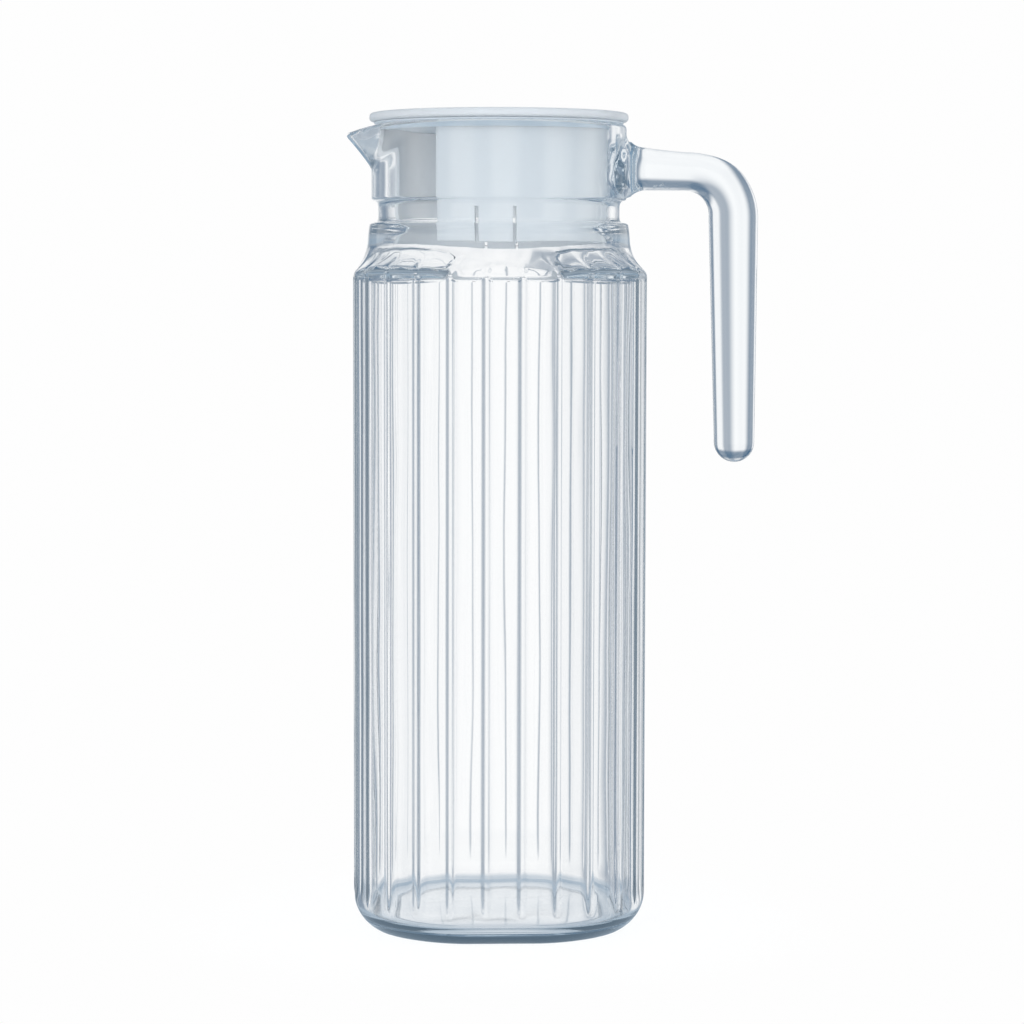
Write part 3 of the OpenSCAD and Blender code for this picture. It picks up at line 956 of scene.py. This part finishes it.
# %% World
world = bpy.data.worlds.new("studio")
bpy.context.scene.world = world
world.use_nodes = True
nodes, links = world.node_tree.nodes, world.node_tree.links
nodes.clear()

boards_group = bpy.data.node_groups.new("studio_boards", "ShaderNodeTree")
boards_group.interface.new_socket("Direction", in_out="INPUT", socket_type="NodeSocketVector")
boards_group.interface.new_socket("Color", in_out="OUTPUT", socket_type="NodeSocketColor")
nodes, links = boards_group.nodes, boards_group.links
start, end = nodes.new("NodeGroupInput"), nodes.new("NodeGroupOutput")
parts = nodes.new("ShaderNodeSeparateXYZ")
links.new(start.outputs["Direction"], parts.inputs[0])
round_angle = math_node("DIVIDE", math_node("ARCTAN2", parts.outputs["Y"], parts.outputs["X"]), radians(90))
off_axis = math_node("SUBTRACT", math_node("FRACT", math_node("ADD", round_angle, 100.5)), 0.5)
one_side = math_node("MULTIPLY", ramp_node(off_axis, 0.09, 0.25, 0.0, 1.0),
                     ramp_node(off_axis, 0.42, 0.5, 0.78, 0.0))
other_side = math_node("MULTIPLY", ramp_node(off_axis, -0.15, -0.05, 1.0, 0.0),
                       ramp_node(off_axis, -0.34, -0.24, 0.0, 0.62))
boards = math_node("SUBTRACT", 1.0, math_node("ADD", one_side, other_side))
rise = math_node("ARCSINE", parts.outputs["Z"])
strip = math_node("MULTIPLY", ramp_node(rise, radians(12), radians(22), 0.0, 0.8),
                  ramp_node(rise, radians(38), radians(52), 1.0, 0.3))
light = math_node("MULTIPLY", boards, math_node("SUBTRACT", 1.0, strip))
gap_tint = nodes.new("ShaderNodeMix")
gap_tint.data_type = "RGBA"
gap_tint.inputs["A"].default_value = (0.03, 0.11, 0.21, 1)
gap_tint.inputs["B"].default_value = (1, 1, 1, 1)
links.new(light, gap_tint.inputs["Factor"])
links.new(gap_tint.outputs["Result"], end.inputs["Color"])

nodes, links = world.node_tree.nodes, world.node_tree.links
where = nodes.new("ShaderNodeTexCoord")
studio_boards = nodes.new("ShaderNodeGroup")
studio_boards.node_tree = boards_group
links.new(where.outputs["Generated"], studio_boards.inputs["Direction"])
rays = nodes.new("ShaderNodeLightPath")
sees_boards = math_node("MAXIMUM", rays.outputs["Is Glossy Ray"], rays.outputs["Is Transmission Ray"])
studio, plain, white = (nodes.new("ShaderNodeBackground") for _ in range(3))
links.new(studio_boards.outputs["Color"], studio.inputs["Color"])
plain.inputs["Color"].default_value = (0.95, 0.98, 1, 1)
plain.inputs["Strength"].default_value = 1.05
white.inputs["Color"].default_value = (0.99, 0.99, 0.99, 1)
first, second = nodes.new("ShaderNodeMixShader"), nodes.new("ShaderNodeMixShader")
links.new(sees_boards, first.inputs["Fac"])
links.new(plain.outputs[0], first.inputs[1])
links.new(studio.outputs[0], first.inputs[2])
links.new(rays.outputs["Is Camera Ray"], second.inputs["Fac"])
links.new(first.outputs[0], second.inputs[1])
links.new(white.outputs[0], second.inputs[2])
world_out = nodes.new("ShaderNodeOutputWorld")
links.new(second.outputs[0], world_out.inputs["Surface"])

# %% [markdown]
# ## Lamps and floor
#
# Two large soft lamps stand in front on the left and on the right, hidden from the glass, which has its
# boards. The floor is a pale disc. Near the jug it is lit as any surface, so that it takes the jug's
# shadow, and further out it fades into the white background. Rays that come down through the glass pass
# it and see the studio, except close to the foot, where they meet a painted grey blue contact shadow,
# which glows.

# %% Lamps
def soft_lamp(name, place, aim, width, height, watts):
    start_piece()
    bpy.ops.object.light_add(type="AREA", location=place)
    lamp = bpy.context.object
    lamp.name = name
    lamp.data.shape, lamp.data.size, lamp.data.size_y = "RECTANGLE", width, height
    lamp.data.energy = watts
    lamp.visible_glossy = lamp.visible_transmission = False
    lamp.rotation_euler = (Vector(aim) - Vector(place)).to_track_quat("-Z", "Y").to_euler()
    return lamp


soft_lamp("key", (-0.55, -0.95, 0.75), (0, 0, 0.15), 0.3, 0.5, 5.0)
soft_lamp("fill", (0.9, -0.7, 0.55), (0, 0, 0.15), 0.25, 0.6, 3.0)

# %% Floor
start_piece()
bpy.ops.mesh.primitive_circle_add(vertices=96, radius=2.5, fill_type="NGON", location=(0, 0, 0))
ground = bpy.context.object
ground.name = "floor"
pale, nodes, links, shader, output = new_material("pale_floor")
shader.inputs["Base Color"].default_value = (0.93, 0.93, 0.93, 1)
shader.inputs["Roughness"].default_value = 0.9
shader.inputs["Specular IOR Level"].default_value = 0.1
place = nodes.new("ShaderNodeTexCoord")
length = nodes.new("ShaderNodeVectorMath")
length.operation = "LENGTH"
links.new(place.outputs["Object"], length.inputs[0])
far = ramp_node(length.outputs["Value"], 0.03, 0.12, 0.85, 1.0)
# Painted contact shadow: close to the foot, rays that came through the glass see a grey blue Emission ring
near = math_node("MULTIPLY", ramp_node(length.outputs["Value"], 0.032, 0.042, 0.45, 1.0),
                 ramp_node(length.outputs["Value"], 0.046, 0.08, 1.0, 0.0))
rays = nodes.new("ShaderNodeLightPath")
bent = math_node("MAXIMUM", rays.outputs["Is Glossy Ray"], rays.outputs["Is Transmission Ray"])
white_glow, painted_contact_shadow = nodes.new("ShaderNodeEmission"), nodes.new("ShaderNodeEmission")
white_glow.inputs["Color"].default_value = (0.99, 0.99, 0.99, 1)
painted_contact_shadow.inputs["Color"].default_value = (0.42, 0.51, 0.60, 1)
clear_floor = nodes.new("ShaderNodeBsdfTransparent")
seen, refracted, choose = (nodes.new("ShaderNodeMixShader") for _ in range(3))
links.new(math_node("MULTIPLY", far, rays.outputs["Is Camera Ray"]), seen.inputs["Fac"])
links.new(shader.outputs["BSDF"], seen.inputs[1])
links.new(white_glow.outputs["Emission"], seen.inputs[2])
links.new(near, refracted.inputs["Fac"])
links.new(clear_floor.outputs["BSDF"], refracted.inputs[1])
links.new(painted_contact_shadow.outputs["Emission"], refracted.inputs[2])
links.new(bent, choose.inputs["Fac"])
links.new(seen.outputs["Shader"], choose.inputs[1])
links.new(refracted.outputs["Shader"], choose.inputs[2])
links.new(choose.outputs["Shader"], output.inputs["Surface"])
dress(ground, pale)

bpy.context.scene.view_settings.view_transform = "Standard"
